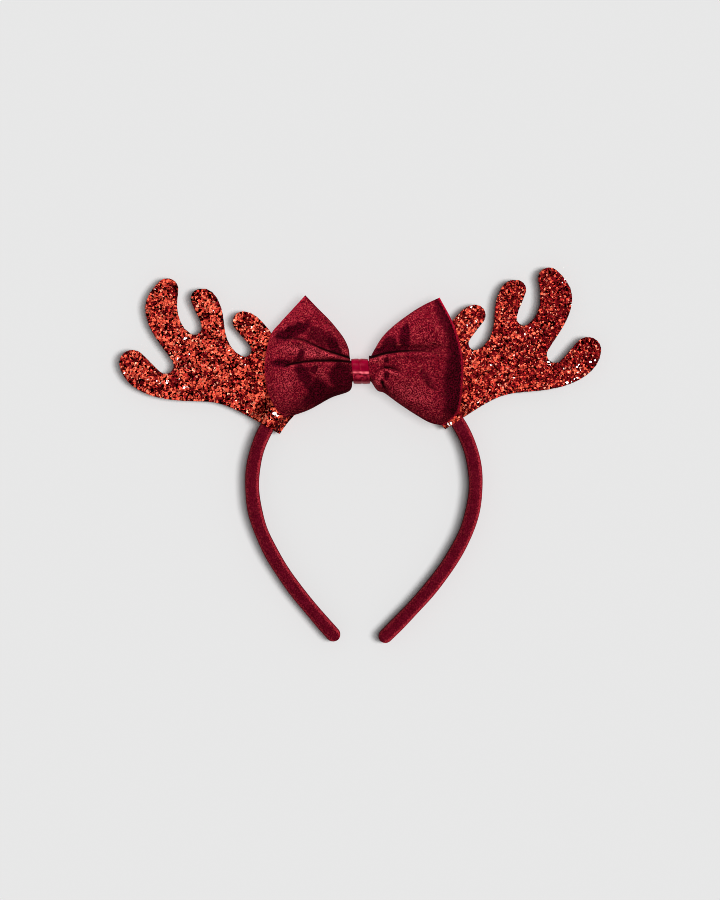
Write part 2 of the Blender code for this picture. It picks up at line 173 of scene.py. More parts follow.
# Dents and, where the depth is negative, swellings of the bow's front: name, place across and
# up, half its length and width, turn in degrees, depth, and how dark the pile is painted there, partly
# flat-lying pile and partly painted shade in the hollow, where more than 1 gives a wider dark patch
DENTS = (
    ("hump left", -35.2, 20.6, 9.6, 3.2, 24, 0.8, 1.2),
    ("hump left inner", -22.0, 18.0, 7.4, 4.2, -38, 0.4, 0.66),
    ("fold left inner", -14.2, 13.4, 6.0, 3.0, -60, 0.9, 0.95),
    ("tail left", -41.0, 3.9, 5.8, 2.2, 0, 0.6, 1.0),
    ("spot left", -31.0, 8.2, 3.8, 1.7, 75, 0.4, 0.85),
    ("spot left inner", -22.4, 10.0, 2.4, 1.0, -15, 0.2, 0.5),
    ("low left", -29.4, -2.6, 7.6, 3.8, -60, 0.7, 0.9),
    ("low left inner", -24.2, 0.6, 3.4, 1.8, 62, 0.2, 0.8),
    ("hollow left", -22.6, -10.2, 6.6, 5.4, 80, 1.3, 1.0),
    ("neck left", -10.2, -2.8, 8.0, 6.6, 90, 1.0, 0.92),
    ("under left", -18.0, -12.4, 16.0, 4.0, 20, 0.3, 0.82),
    ("hollow right", 23.0, 17.6, 7.2, 2.9, 88, 1.0, 1.2),
    ("slope right", 14.8, 14.0, 5.2, 3.6, 60, 0.4, 0.85),
    ("fold right", 14.0, 11.2, 9.0, 2.2, 8, 0.2, 1.0),
    ("fold right outer", 30.0, 12.0, 9.0, 1.6, 0, 0.1, 0.55),
    ("tip right", 43.2, 27.0, 9.0, 3.0, -70, 0.2, 0.72),
    ("hollow low right", 34.2, -4.0, 6.2, 2.4, -52, 0.6, 0.55),
    ("gather high right", 13.3, 5.6, 1.7, 1.5, 90, 0.5, 0.9),
    ("gather right", 13.6, -2.6, 2.6, 1.4, 80, 0.9, 1.0),
    ("swell right", 8.4, -1.5, 8.0, 3.2, 90, -0.9, 0.0),
)
# Painted highlights, where the pile would stand up and catch the light: name, place across and
# up, half its length and width, turn in degrees, share
GLEAMS = (
    ("panel left", -25.0, 9.6, 14.0, 2.6, -9, 0.75),
    ("panel low left", -38.0, -6.0, 7.0, 5.0, 80, 0.25),
    ("streak left", -21.0, -1.0, 5.0, 2.0, -60, 0.35),
    ("neck left", -9.5, 10.4, 5.0, 1.3, -35, 0.8),
    ("neck left middle", -8.0, 6.0, 4.5, 0.8, -8, 0.8),
    ("neck right", 9.6, 6.4, 4.5, 1.6, 8, 0.6),
    ("gather right", 9.6, -4.4, 5.0, 1.5, 62, 0.6),
    ("ridge right", 16.5, -0.8, 5.0, 1.0, -22, 0.5),
    ("middle right", 33.0, 18.5, 7.0, 4.0, -30, 0.12),
    ("low right", 27.0, -12.0, 12.0, 5.0, -22, 0.38),
    ("glint right", 48.3, 10.7, 2.6, 0.5, -58, 0.8),
)
PILE_GRAIN = 0.62 * MM  # size of the tufts that catch the light
SPECK_GRAIN = 0.85 * MM  # size of the hairs that sparkle
LEAN_GRAIN = 4.5 * MM  # size of the places where the pile leans one way
TUFT_GRAIN = 0.5 * MM  # size and height of the tufts in its relief
TUFT_HIGH = 0.25 * MM
# Soft noise and marks are stretched from one level to another
HAIR_LEVELS = (0.43, 0.60)
LEAN_LEVELS = (0.36, 0.66)
SPECK_LEVELS = (0.63, 0.74)
MARK_LEVELS = (0.12, 0.88)
MARK_RAGGED = 0.25  # how far the hairs break up a mark's edge
SPECK_COLOUR = (0.80, 0.10, 0.09)
SHEEN_TINT = (1.0, 0.10, 0.16, 1.0)
PATCH_GRAIN = 4.0 * MM  # size of the uneven edges of the dark patches
RAGGED = ((PATCH_GRAIN, 0.20, 21), (PATCH_GRAIN / 3, 0.10, 22))  # their size, share, seed
RAGGED_RISE = 4  # how fast they grow from a patch's outside in
PATCH_STEEP = 1.8  # how fast a patch darkens over its dent, less a part that stays light
PATCH_LIGHT = 0.2
SEAM_IN = 1.7 * MM  # the seam runs this far inside the bow's edges
SEAM_DEEP = 0.2 * MM
SEAM_WIDE = 0.4 * MM
EDGE_SHADE, EDGE_SHADE_WIDE = 0.35, 0.8 * MM  # painted shade along all edges, where the cloth turns away
RIM_IN, RIM_WIDE = 0.25 * MM, 0.65 * MM  # a painted sheen line along the lobes' rims
RIM_LEFT = 0.4  # how much of that painted sheen the left lobe has
TURNED_EDGE = 3.6 * MM  # painted shade where the right lobe's rim turns away from the light, over this width
TURNED_MORE = 5.4 * MM  # and over this much more at its middle
TURNED_AT, TURNED_LONG = 0.35, 0.30  # where that middle is, and how long, from low to top
TURNED_SOFT = 6.0 * MM  # width of that place's edge
TURNED_RAGGED, TURNED_SEED = 0.08, 23
TURNED_START, TURNED_OVER = 0.04, 0.12  # where it starts above the low corner
PLEATS = 8  # across the neck
PLEAT_DEEP = 0.45 * MM
PLEAT_REACH = 0.16  # share of the way out
PLEAT_SHIFT = 0.8  # radians

# Knot, as in the part, and what lies across its face: place up from its middle and half width, in mm
KNOT_WIDE = 8.7 * MM
KNOT_DEEP = 13.3 * MM
KNOT_WALL = 0.9 * MM
KNOT_SQUARENESS = 3.6
KNOT_TURNS = 200
KNOT_STRIPS = 33
# The ridge also carries a painted highlight, and the last is a band of painted shade
KNOT_RIDGE = (-0.95, 0.42)
KNOT_FOLD = (-2.6, 1.3)
KNOT_SHADE_BAND = (-3.2, 1.7)
# Its face: heights are shares of its wall, and widths across are shares of half its own width
RIDGE_HIGH, FOLD_DEEP = 0.30, 0.35
FACE_ROUND = 0.35  # power of its section across
FACE_THIN, FACE_HEM = 0.08, 0.35  # the least wall, and the wall of its outermost strips
FACE_CREASE, FACE_CREASE_WIDE = 0.35, 0.10
FACE_LINE, FACE_LINE_WIDE = 0.5, 0.07  # how dark the painted shade line in its crease is
FACE_STEP, FACE_STEP_WIDE = 0.22 * MM, 0.12  # how far the folds step down across its crease
GLOSS_DIM, GLOSS_TURNS = 0.25, 9  # how much its painted highlight varies across, and how fast, in radians
HEM_GLOSS, HEM_IN, HEM_WIDE = 0.3, 0.7 * MM, 0.5 * MM  # a faint painted highlight near its lower end
END_SHADE, END_WIDE = 0.9, 0.5 * MM  # painted shade where it turns down at both ends
WEAVE = 0.5 * MM
BLOTCH = 1.6 * MM
BLOTCH_LEVELS = (0.35, 0.65)

FLAKE = 1.5 * MM
FLAKE_SIZES, FLAKE_MEAN = (0.45, 1.15), 0.8  # shares of that
FLAKE_WIDTHS, FLAKE_WIDTH_MEAN = (0.5, 1.0), 0.78  # widths, as shares of the lengths
HEXAGON = 2.6  # area of a hexagon whose corners are 1 from its middle
FLAKE_COVER = 2.3  # how many flakes deep, on average
FLAKE_TILT = 0.12
FLAKE_LIFT = (0.05, 0.25)  # mm, of their middles from the sheet
FLAKE_RISE = 0.32 * MM  # the furthest that a flake's corner stands from its sheet
FLOOR_CLEAR = 0.02 * MM  # of the flakes from the lowest solid
BAND_CLEAR = 0.7 * MM  # no flakes nearer than this to the band
CHIP = 0.6 * MM  # size of the chips in the glue under the flakes
# Colours of the foil, partly its own and partly painted light, the pale and white flakes being
# painted glints and the black ones painted dark reflections: name, colour, share in a bright and
# in a dark patch
FOIL = (
    ("orange", (0.80, 0.105, 0.055), 0.52, 0.05),
    ("red", (0.42, 0.026, 0.018), 0.25, 0.12),
    ("pale", (0.95, 0.30, 0.19), 0.055, 0.025),
    ("wine", (0.11, 0.003, 0.005), 0.07, 0.43),
    ("black", (0.002, 0.0, 0.0), 0.10, 0.38),
    ("white", (3.6, 3.4, 3.2), 0.002, 0.001),
)
WINE, BLACK, WHITE = 3, 4, 5  # their rows
FOIL_SHADES = (0.75, 1.2)  # of each colour, from flake to flake
FOIL_UNEVEN = ((7 * MM, 40), (2.6 * MM, 60))  # dark patches and small clumps: size, seed
FOIL_DARK, FOIL_CONTRAST = 0.57, 0.7  # how dark it is on the whole, and how far its patches differ
FOIL_WAY = (50 * MM, 105 * MM)  # from the middle to an antler's root and to its tips
# An antler's dark is painted shade: the right one is darker, most at its tips, as it lies further from the
# light
ANTLERS = {
    "antler_left": {"seed": 5, "flake": FLAKE, "dark": (0.0, -0.05), "less_black": 0.0},
    "antler_right": {"seed": 6, "flake": 0.87 * FLAKE, "dark": (0.12, 0.6), "less_black": 0.45},
}
# Painted glints, white flakes where flakes would face the light: name, place in mm, reach, share of
# the flakes there
SPARKS = (
    ("left low tine", -121.7, 38.4, 0.9, 0.4),
    ("left underside", -105.8, 33.3, 0.9, 0.6),
    ("left underside inner", -100.4, 34.6, 0.9, 0.6),
    ("left belly", -90.7, 31.0, 1.0, 0.6),
    ("left fork", -95.6, 45.6, 0.7, 0.3),
    ("left middle", -92.0, 56.0, 0.9, 0.3),
    ("left high middle", -87.5, 59.6, 0.7, 0.3),
    ("left second tine", -77.6, 70.6, 1.0, 0.4),
    ("left root", -43.2, 17.6, 1.5, 0.35),
    ("left root edge", -46.0, 15.4, 1.0, 0.35),
    ("right underside", 109.6, 39.8, 1.1, 0.3),
    ("right underside outer", 113.0, 42.2, 0.9, 0.35),
    ("right low tine", 115.4, 45.6, 1.1, 0.25),
    ("right low tine top", 114.4, 49.0, 0.8, 0.35),
    ("right low tine end", 122.4, 51.6, 1.0, 0.25),
    ("right low tine edge", 124.2, 49.6, 0.8, 0.4),
    ("right fork", 98.6, 49.8, 0.8, 0.5),
    ("right tall tine", 105.6, 92.2, 0.9, 0.2),
    ("right last tine", 55.2, 69.0, 1.0, 0.2),
    ("right root", 48.4, 16.0, 1.6, 0.3),
)


def smooth(share):
    """Eases from 0 to 1."""
    share = np.clip(share, 0.0, 1.0)
    return share * share * (3 - 2 * share)


def hill(value, middle, wide):
    """A soft hill of height 1 round a middle value, nearly gone at twice its width."""
    return np.exp(-(((value - middle) / wide) ** 2))


def rounded_square(sides, squareness):
    """Turns round a section between a circle and a square, with its points across and up, from -1 to 1."""
    turns = 2 * math.pi * np.arange(sides) / sides
    cos, sin = np.cos(turns), np.sin(turns)
    power = 2 / squareness
    return turns, np.sign(cos) * np.abs(cos) ** power, np.sign(sin) * np.abs(sin) ** power


def along_curve(points, shares):
    """Points at shares of the length along the smooth curve through the given ones."""
    points = np.array(points, float)
    chords = np.linalg.norm(np.diff(points, axis=0), axis=1)
    starts = np.concatenate([[0], np.cumsum(chords)])
    before = np.vstack([2 * points[0] - points[1], points[:-1]])
    after = np.vstack([points[1:], 2 * points[-1] - points[-2]])
    slope = (after - before) / 2
    walked = np.clip(np.asarray(shares), 0, 1) * starts[-1]
    index = np.clip(np.searchsorted(starts, walked, side="right") - 1, 0, len(chords) - 1)
    t = ((walked - starts[index]) / chords[index])[:, None]
    start, end, leave, enter = points[index], points[index + 1], slope[index], slope[index + 1]
    middle = (2 * t**3 - 3 * t**2 + 1) * start + (t**3 - 2 * t**2 + t) * leave
    return middle + (3 * t**2 - 2 * t**3) * end + (t**3 - t**2) * enter


def wavy(x, y, size, seed):
    """Smooth hills and hollows between about -1 and 1, of the given size, from a few crossed waves."""
    made = np.random.default_rng(seed)
    total = np.zeros_like(x)
    for _ in range(WAVES):
        turn, shift = made.uniform(0, 2 * math.pi, 2)
        length = size * made.uniform(*WAVE_LENGTHS)
        total += np.sin(2 * math.pi * (x * math.cos(turn) + y * math.sin(turn)) / length + shift)
    return total / (WAVES / 2)


def make_piece(name, points, faces, material, node=None):
    """A smooth mesh object that rides with the headband, in place of a node of the part."""
    mesh = bpy.data.meshes.new(name)
    mesh.from_pydata(points.tolist(), [], faces)
    mesh.validate()
    mesh.shade_smooth()
    mesh.materials.append(material)
    piece = bpy.data.objects.new(name, mesh)
    bpy.context.scene.collection.objects.link(piece)
    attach(piece, "root")
    if node:
        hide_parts(node)
    return piece


def mark_points(piece, name, values):
    marks = piece.data.attributes.new(name, "FLOAT", "POINT")
    marks.data.foreach_set("value", np.asarray(values, np.float32).reshape(-1))


def grid_faces(rows, columns, ends_meet=False):
    """Faces between rings of points: each row of the grid is a closed ring."""
    row = np.arange(rows - (not ends_meet))[:, None]
    col = np.arange(columns)[None, :]
    after_row = (row + 1) % rows
    after_col = (col + 1) % columns
    corners = (row * columns + col, after_row * columns + col, after_row * columns + after_col)
    corners += (row * columns + after_col,)
    return np.stack(np.broadcast_arrays(*corners), axis=-1).reshape(-1, 4).tolist()


class Wire:
    """A socket of a material, with sums and products that add nodes: Math for numbers, else Vector Math."""

    def __init__(self, finish, socket):
        self.finish = finish
        self.socket = socket

    def _join(self, operation, first, second):
        def several(value):
            return value.socket.type != "VALUE" if isinstance(value, Wire) else isinstance(value, tuple)

        kind = "ShaderNodeVectorMath" if several(first) or several(second) else "ShaderNodeMath"
        return self.finish.node(kind, {"operation": operation}, first, second)

    def __add__(self, other):
        return self._join("ADD", self, other)

    __radd__ = __add__

    def __sub__(self, other):
        return self._join("SUBTRACT", self, other)

    def __rsub__(self, other):
        return self._join("SUBTRACT", other, self)

    def __mul__(self, other):
        return self._join("MULTIPLY", self, other)

    __rmul__ = __mul__


class Finish:
    """A material under construction."""

    def __init__(self, name, **sockets):
        self.material = bpy.data.materials.new(name)
        self.material.use_nodes = True
        self.tree = self.material.node_tree
        self.surface = self.tree.nodes["Principled BSDF"]
        for socket, value in sockets.items():
            self.surface.inputs[socket.replace("_", " ")].default_value = value

    def node(self, kind, settings, *values, output=0, **named):
        """Adds a node: its settings first, then the values or links of its sockets, by order or name."""
        made = self.tree.nodes.new(kind)
        for setting, value in settings.items():
            setattr(made, setting, value)
        pairs = list(enumerate(values)) + [(name.replace("_", " "), value) for name, value in named.items()]
        for socket, value in pairs:
            if value is None:
                continue
            if isinstance(value, Wire):
                self.tree.links.new(value.socket, made.inputs[socket])
            elif isinstance(value, tuple) and made.inputs[socket].type == "RGBA":
                made.inputs[socket].default_value = (*value, 1.0)
            else:
                made.inputs[socket].default_value = value
        return Wire(self, made.outputs[output])

    def place(self):
        """The point of the object itself, in metres."""
        return self.node("ShaderNodeTexCoord", {}, output=3)

    def noise(self, size, detail=2.0, rough=0.5):
        """Soft noise from 0 to 1, whose lumps are about the given size."""
        shape = {"Scale": 1 / size, "Detail": detail, "Roughness": rough}
        return self.node("ShaderNodeTexNoise", {}, Vector=self.place(), **shape)

    def stretch(self, value, low, high):
        """A value's stretch from low to high, as 0 to 1."""
        return self.node("ShaderNodeMapRange", {"clamp": True}, value, low, high)

    def between(self, share, first, second):
        """A colour mixed from two, by a share from 0 to 1."""
        skipped = [None] * 5  # the sockets for other kinds of value
        return self.node("ShaderNodeMix", {"data_type": "RGBA"}, share, *skipped, first, second, output=2)

    def mark(self, name):
        """The value of a mark on the mesh's points."""
        return self.node("ShaderNodeAttribute", {"attribute_name": name}, output=2)

    def bump(self, height, strength, distance):
        return self.node("ShaderNodeBump", {}, Strength=strength, Distance=distance, Height=height)

    def to(self, socket, wire):
        self.tree.links.new(wire.socket, self.surface.inputs[socket])


def velvet(name, flat, raised, sheen, speck, marks):
    """Velvet whose pile leans between flat and raised, each a pair of colours: of dark and of lit hairs.

    Speck is how strongly single hairs sparkle. Marks are values on the mesh's points, each with the
    pair of colours that it turns the pile to.
    """
    sheens = {"Sheen_Weight": sheen, "Sheen_Roughness": 0.4, "Sheen_Tint": SHEEN_TINT}
    finish = Finish(name, Roughness=0.9, Specular_IOR_Level=0.03, **sheens)
    hairs = finish.stretch(finish.noise(PILE_GRAIN, detail=1.0, rough=0.6), *HAIR_LEVELS)
    lean = finish.stretch(finish.noise(LEAN_GRAIN, detail=3.0, rough=0.6), *LEAN_LEVELS)
    pile = finish.between(lean, finish.between(hairs, *flat), finish.between(hairs, *raised))
    specks = finish.stretch(finish.noise(SPECK_GRAIN, detail=0.0), *SPECK_LEVELS)
    pile = finish.between(specks * speck, pile, SPECK_COLOUR)
    ragged = (hairs - 0.5) * MARK_RAGGED
    for mark, dark, lit in marks:
        share = finish.stretch(finish.mark(mark) + ragged, *MARK_LEVELS)
        pile = finish.between(share, pile, finish.between(hairs, dark, lit))
    finish.to("Base Color", pile)
    tufts = finish.noise(TUFT_GRAIN, rough=0.7)
    finish.to("Normal", finish.bump(tufts, strength=0.5, distance=TUFT_HIGH))
    return finish.material


def satin():
    """Smooth woven ribbon, with its weave's faint lines, painted shade in its folds and a painted highlight on
    its ridge.
    """
    finish = Finish("satin_ribbon", Roughness=0.35, Specular_IOR_Level=0.02)
    stripes = finish.node("ShaderNodeTexWave", {"bands_direction": "Y"}, finish.place(), 1 / WEAVE)
    blotch = finish.stretch(finish.noise(BLOTCH), *BLOTCH_LEVELS)
    cloth = finish.between(blotch, (0.215, 0.0, 0.014), (0.285, 0.0003, 0.023))
    # Painted shade below the fold, at the ends and in the crease
    shade = finish.between(blotch, (0.06, 0.0, 0.005), (0.50, 0.024, 0.050))
    cloth = finish.between(finish.mark("shade"), cloth, shade)
    # Painted highlight along the ridge, brighter than white
    finish.to("Base Color", finish.between(finish.mark("gloss"), cloth, (1.7, 0.28, 0.35)))
    finish.to("Normal", finish.bump(stripes, strength=0.06, distance=0.1 * MM))
    return finish.material


def glitter_sheet():
    """The sheet under the flakes: dark red glue full of small chips."""
    finish = Finish("glitter_sheet", Roughness=0.6, Specular_IOR_Level=0.02)
    chips = finish.node("ShaderNodeTexVoronoi", {}, Vector=finish.place(), Scale=1 / CHIP, output=1)
    tone = finish.node("ShaderNodeSeparateColor", {}, chips)
    finish.to("Base Color", finish.between(tone, (0.006, 0.0, 0.0), (0.08, 0.003, 0.003)))
    finish.to("Normal", finish.bump(tone, strength=0.6, distance=0.2 * MM))
    return finish.material


def glitter_flakes():
    """Loose foil flakes, each with a colour of its own, some painted as glints and some as dark reflections."""
    finish = Finish("glitter_flakes", Roughness=0.35, Metallic=0.3, Specular_IOR_Level=0.0)
    finish.to("Base Color", finish.node("ShaderNodeAttribute", {"attribute_name": "foil"}))
    return finish.material


def paper():
    grey = (0.8, 0.8, 0.8, 1.0)
    return Finish("pale_floor", Roughness=0.9, Specular_IOR_Level=0.0, Base_Color=grey).material


def band_point(along):
    """Middle of the band from above, from its crown, and its heading, at a length from the crown."""
    left = abs(along)
    x, y, heading = 0.0, 0.0, 0.0
    for _, share, turn in BAND_BENDS:
        length = share * BAND_LENGTH / 2
        walked = min(left, length)
        bend = math.radians(turn) / length
        after = heading - bend * walked
        x += (math.sin(heading) - math.sin(after)) / bend
        y += (math.cos(after) - math.cos(heading)) / bend
        heading = after
        left -= walked
    x += left * math.cos(heading)
    y += left * math.sin(heading)
    side = math.copysign(1, along)
    return side * x, y, side * heading


def make_band(material):
    """The padded strip: a swept cushion with round ends, a little uneven, seamed along its inside."""
    low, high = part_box("band")
    crown = Vector(((low.x + high.x) / 2, high.y - BAND_THICK / 2))
    leg_y = band_point(BAND_LENGTH / 2)[1]
    lift = high.z - BAND_WIDE
    half = BAND_LENGTH / 2
    stations = [(along, 1.0) for along in np.linspace(-half, half, BAND_SECTIONS)]
    for turn in np.radians(BAND_END_TURNS):
        beyond = half + BAND_THICK / 2 * math.sin(turn)
        stations.insert(0, (-beyond, math.cos(turn)))
        stations.append((beyond, math.cos(turn)))
    turns, across, up = rounded_square(BAND_SIDES, BAND_SQUARENESS)
    seam = BAND_SEAM * hill(turns, math.pi, BAND_SEAM_WIDE)
    rings, headings = [], []
    for along, share in stations:
        x, y, heading = band_point(along)
        uneven = wavy(np.array([along]), np.array([0.0]), BAND_LUMPS, 3)[0] * BAND_UNEVEN
        out = (across * (BAND_THICK / 2 + uneven) + seam) * share
        # The round ends narrow to half the height
        height = BAND_WIDE / 2 + lift * (1 - y / leg_y) + up * BAND_WIDE / 2 * (0.5 + share / 2)
        x = crown.x + x - out * math.sin(heading)
        y = crown.y + y + out * math.cos(heading)
        rings.append(np.column_stack([x, y, height]))
        headings.append([heading])
    faces = grid_faces(len(rings), BAND_SIDES)
    points = np.vstack(rings)
    faces.append(list(range(BAND_SIDES)))
    faces.append(list(range(len(points) - BAND_SIDES, len(points)))[::-1])
    piece = make_piece("band_velvet", points, faces, material, "band")
    # Painted sheen on the shoulders of its section, full on the sides that face right, towards the light
    sheen_on_shoulders = hill(np.abs(across), SHOULDER_SHEEN_AT, SHOULDER_SHEEN_WIDE) * (up > 0)
    facing_right = -np.sin(headings) * np.sign(across)
    mark_points(piece, "painted_shoulder_sheen", sheen_on_shoulders * (SHOULDER_SHEEN_LEFT + (1 - SHOULDER_SHEEN_LEFT) * smooth(0.5 + facing_right)))
    # Painted shade along its inner side
    inside = np.clip((-across - INSIDE_FROM) / INSIDE_OVER, 0, 1)
    mark_points(piece, "inside", inside * np.ones_like(headings))
    return piece


def soft_spot(x, y, across, up, long, wide, turn):
    """A long hill of height 1, its place and half sizes in mm, turned by an angle in degrees."""
    dx = x - across * MM
    dy = y - up * MM
    turn = math.radians(turn)
    far = (dx * math.cos(turn) + dy * math.sin(turn)) / (long * MM)
    near = (dy * math.cos(turn) - dx * math.sin(turn)) / (wide * MM)
    return np.exp(-(far**2 + near**2))


def bow_face(x, y):
    """The bow's front: how far it is pressed in, how dark its pile is from flat nap and painted shade, how
    black its creases' painted shade is, and its painted highlights.
    """
    depth, nap_and_shade, black, gleam = (np.zeros_like(x) for _ in range(4))
    for _, deep, soft, sharp, dark_start, dark_end, points in CREASES:
        path = along_curve(np.array(points) * MM, np.linspace(0, 1, CREASE_STEPS + 1))
        way = np.gradient(path, axis=0)
        way /= np.linalg.norm(way, axis=1)[:, None]
        nearest = np.argmin((x[..., None] - path[:, 0]) ** 2 + (y[..., None] - path[:, 1]) ** 2, axis=-1)
        dx = x - path[nearest, 0]
        dy = y - path[nearest, 1]
        reach = np.hypot(dx, dy)
        above = way[nearest, 0] * dy * np.sign(path[-1, 0] - path[0, 0]) > 0
        share = nearest / CREASE_STEPS
        fade = smooth(share / CREASE_FADE + CREASE_END) * smooth((1 - share) / CREASE_FADE + CREASE_END)
        fall = hill(reach, 0, np.where(above, soft, sharp) * MM)
        welt = np.where(above, 0, WELT * hill(reach, WELT_OFF, WELT_WIDE))
        depth += deep * MM * fade * (fall - welt)
        # Painted shade: a black line in the crease and a darker strip above it
        dark = dark_start * (1 - share) + dark_end * share
        black = np.maximum(black, dark * hill(reach, 0, CREASE_LINE))
        nap_and_shade = np.maximum(nap_and_shade, np.where(above, CREASE_SHADE * dark * hill(reach, 0, CREASE_SHADE_WIDE), 0))
    ragged = sum(share * wavy(x, y, size, seed) for size, share, seed in RAGGED)
    # Dents darken the pile: partly flat-lying nap, partly painted shade in the hollows
    for _, *place, deep, flat in DENTS:
        dent = soft_spot(x, y, *place)
        depth += deep * MM * dent
        patch = smooth(PATCH_STEEP * dent + ragged * smooth(dent * RAGGED_RISE) - PATCH_LIGHT)
        nap_and_shade = np.maximum(nap_and_shade, np.minimum(flat * patch, 1))
    # Painted highlights
    for _, *place, share in GLEAMS:
        gleam = np.maximum(gleam, share * soft_spot(x, y, *place))
    return depth, nap_and_shade, np.minimum(black, 1), gleam


def lobe_plan(lobe, out, across):
    """Places of a lobe seen from above: out from the neck to the rim, across from low to top."""

    def spots(rows):
        return [(NECK_HALF + x * (BOW_REACH - NECK_HALF), y * BOW_RISE) for x, y in rows]

    low_start, top_start = np.array((NECK_HALF, -NECK_RISE)), np.array((NECK_HALF, NECK_RISE))
    (low_end,), (top_end,) = spots([lobe["low corner"]]), spots([lobe["high corner"]])
    low = along_curve([low_start, *spots(lobe["low"]), low_end], out)[:, None]
    top = along_curve([top_start, *spots(lobe["top"]), top_end], out)[:, None]
    rim = along_curve([low_end, *spots(lobe["rim"]), top_end], across)[None]
    u, v = out[:, None, None], across[None, :, None]
    neck = low_start * (1 - v) + top_start * v
    straight = neck * (1 - u) + (np.array(low_end) * (1 - v) + np.array(top_end) * v) * u
    plan = low * (1 - v) + top * v + neck * (1 - u) + rim * u - straight
    bulge = lobe["bulge"] * smooth(u / BULGE_UP) * (1 - smooth(u / BULGE_GONE)) * v**3
    return plan * (lobe["side"], 1) + bulge * (0, 1)


def bow_rings(lobe, out, across, seam_low, seam_high):
    """Front and back of one lobe, a ring of points for each column, with its marks."""
    plan = lobe_plan(lobe, out, across)
    right = lobe["side"] > 0
    x, y = plan[..., 0].copy(), plan[..., 1]
    u, v = out[:, None], across[None, :]
    full = smooth(u / LOBE_FULL)
    x -= KNOT_SLANT * y * (1 - full)
    high = np.linalg.norm(plan[:, -1] - plan[:, 0], axis=-1)[:, None]
    wide = np.linalg.norm(plan[-1] - plan[0], axis=-1)[None, :]
    from_rim = (1 - u) * wide
    edge = np.minimum(np.minimum(v, 1 - v) * high, from_rim)

    neck_sag = NECK_SEAM * NECK_PUFF
    seam = seam_low + neck_sag + (seam_high - seam_low - neck_sag) * full
    puff = NECK_PUFF - neck_sag + (BOW_PUFF - NECK_PUFF + neck_sag) * full
    sag = neck_sag + (BOW_SAG - neck_sag) * full
    dome = (1 - np.abs(2 * v - 1) ** DOME_FLAT) ** DOME_ROUND * np.sqrt(1 - u**DOME_OUT)
    ease = smooth(edge / EASE_IN)
    dent, nap_and_shade, black, gleam = bow_face(x, y)
    groove = SEAM_DEEP * hill(edge, SEAM_IN, SEAM_WIDE) * full
    pleats = np.sin(2 * math.pi * PLEATS * v + PLEAT_SHIFT * lobe["side"])
    pleats = PLEAT_DEEP * pleats * hill(u, 0, PLEAT_REACH)
    soft = sum(deep * wavy(x, y, size, seed) for size, deep, seed in SWELLINGS)
    front = puff * dome - dent * ease - groove + (soft + pleats) * ease * full
    size, deep, seed = BACK_SWELLING
    back = np.maximum(sag * dome, LEAST_BACK) - deep * wavy(x, y, size, seed) * ease
    points = np.stack([x, y, seam + np.maximum(front, LEAST_FRONT)], axis=-1)
    under = np.stack([x, y, seam - back], axis=-1)[:, ::-1]

    # Painted shade along the right lobe's rim, where it turns away from the light
    if right:
        turned_wide = TURNED_EDGE + TURNED_MORE * hill(v, TURNED_AT, TURNED_LONG)
        ragged = TURNED_RAGGED * wavy(x, y, PATCH_GRAIN, TURNED_SEED)
        turned_away_shade = smooth((turned_wide - from_rim) / TURNED_SOFT + 0.5 + ragged)
        nap_and_shade = np.maximum(nap_and_shade, turned_away_shade * smooth((v - TURNED_START) / TURNED_OVER))
    # Painted shade along all edges
    nap_and_shade = np.maximum(nap_and_shade, EDGE_SHADE * hill(edge, 0, EDGE_SHADE_WIDE) * full)
    # Painted sheen along the rims, less on the left lobe
    rim = hill(from_rim, RIM_IN, RIM_WIDE) * full * (1.0 if right else RIM_LEFT)
    marks = [(mark, 0 * mark) for mark in (gleam, nap_and_shade, rim, black)]
    return [np.concatenate(pair, axis=1) for pair in ((points, under), *marks)]


def turned(points, centre):
    """Points of the bow or knot, moved from the knot's middle to their place on the band."""
    cos, sin = math.cos(PHOTO_TURN), math.sin(PHOTO_TURN)
    x = points[..., 0] * cos - points[..., 1] * sin + centre.x
    y = points[..., 0] * sin + points[..., 1] * cos + centre.y
    return np.stack([x, y, points[..., 2]], axis=-1)


def knot_centre():
    low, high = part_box("knot")
    return (low + high) / 2


def make_bow(material):
    """The velvet bag: two full lobes, gathered into the neck that the ribbon holds."""
    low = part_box("bow")[0]
    seam_high = low.z + BOW_LIFT + BOW_SAG
    across = np.linspace(0, 1, LOBE_ROWS + 1)
    out = np.linspace(0, 1, LOBE_COLUMNS + 1)
    left = bow_rings(LEFT_LOBE, out, across, low.z, seam_high)
    right = bow_rings(RIGHT_LOBE, out, across, low.z, seam_high)
    share = np.linspace(0, 1, NECK_COLUMNS + 2)[1:-1, None]
    layers = []
    for first, second in zip(left, right):
        blend = share[..., None] if first.ndim > 2 else share
        layers.append(np.concatenate([first[::-1], first[0] * (1 - blend) + second[0] * blend, second]))
    rings, *marks = layers
    rows, columns = rings.shape[:2]
    faces = grid_faces(rows, columns)
    for row, turn in ((0, 1), (rows - 1, -1)):
        for step in range(columns // 2 - 1):
            corners = (step, step + 1, columns - 2 - step, columns - 1 - step)
            faces.append([row * columns + corner for corner in corners[::turn]])
    points = turned(rings, knot_centre()).reshape(-1, 3)
    piece = make_piece("bow_velvet", points, faces, material, "bow")
    # painted highlights, nap with painted shade, painted rim sheen, painted crease shade
    for name, values in zip(("gleam", "nap_and_shade", "rim", "black"), marks):
        mark_points(piece, name, values)
    return piece


